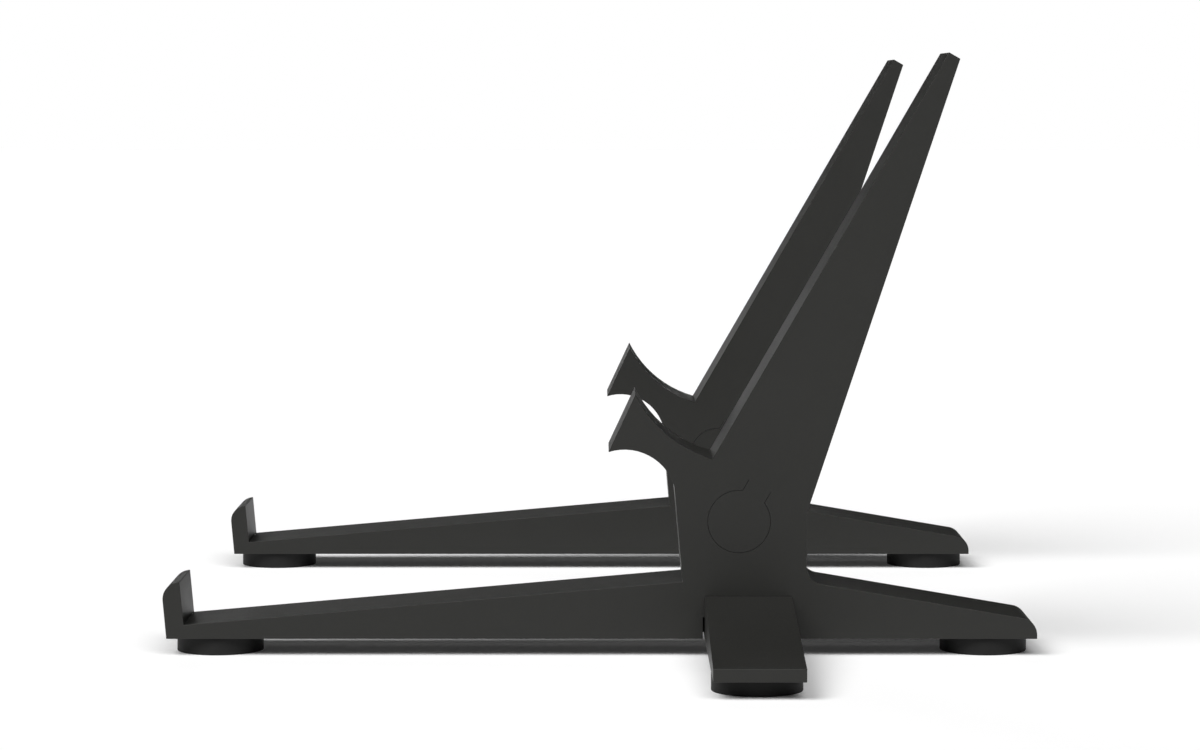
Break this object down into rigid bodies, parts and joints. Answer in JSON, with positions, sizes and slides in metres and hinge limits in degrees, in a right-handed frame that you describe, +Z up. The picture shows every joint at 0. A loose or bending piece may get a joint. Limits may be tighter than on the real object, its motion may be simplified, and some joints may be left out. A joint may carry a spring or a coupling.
{
  "type": "midi controller stand",
  "caption": "Free-standing side stands for small music controllers, with a sloped lower deck and front lip, a hooked upright, a leaning keyed back arm and plug-in side feet.",
  "frame": {"origin": "centre of the pair's footprint, on the table", "axes": "+X from the front lips to the rear, +Y from the right stand to the left stand, +Z up"},
  "size_m": [0.2008, 0.303, 0.1382],
  "materials": {
    "plastic": "matt dark grey",
    "rubber": "matt black",
    "adhesive": "dark film"
  },
  "bodies": {
    "right_stand": {"right_base": "plastic", "right_front_foot": "rubber", "right_front_foot_adhesive": "adhesive", "right_rear_foot": "rubber", "right_rear_foot_adhesive": "adhesive"},
    "right_arm": {"right_back_arm": "plastic"},
    "right_side_foot_bar": {"right_outrigger": "plastic", "right_side_foot": "rubber", "right_side_foot_adhesive": "adhesive"},
    "left_stand": {"left_base": "plastic", "left_front_foot": "rubber", "left_front_foot_adhesive": "adhesive", "left_rear_foot": "rubber", "left_rear_foot_adhesive": "adhesive"},
    "left_arm": {"left_back_arm": "plastic"},
    "left_side_foot_bar": {"left_outrigger": "plastic", "left_side_foot": "rubber", "left_side_foot_adhesive": "adhesive"}
  },
  "joints": [
    {"name": "stand_spacing", "type": "slide", "parent": "right_stand", "child": "left_stand", "axis": [0, 1, 0], "range_m": [-0.07, 0.3]},
    {"name": "right_arm_slide", "type": "slide", "parent": "right_stand", "child": "right_arm", "axis": [0, -1, 0], "range_m": [-0.024, 0.024]},
    {"name": "right_outrigger_plug", "type": "slide", "parent": "right_stand", "child": "right_side_foot_bar", "axis": [0, -1, 0], "range_m": [0, 0.015]},
    {"name": "left_arm_slide", "type": "slide", "parent": "left_stand", "child": "left_arm", "axis": [0, 1, 0], "range_m": [-0.024, 0.024]},
    {"name": "left_outrigger_plug", "type": "slide", "parent": "left_stand", "child": "left_side_foot_bar", "axis": [0, 1, 0], "range_m": [0, 0.015]}
  ]
}
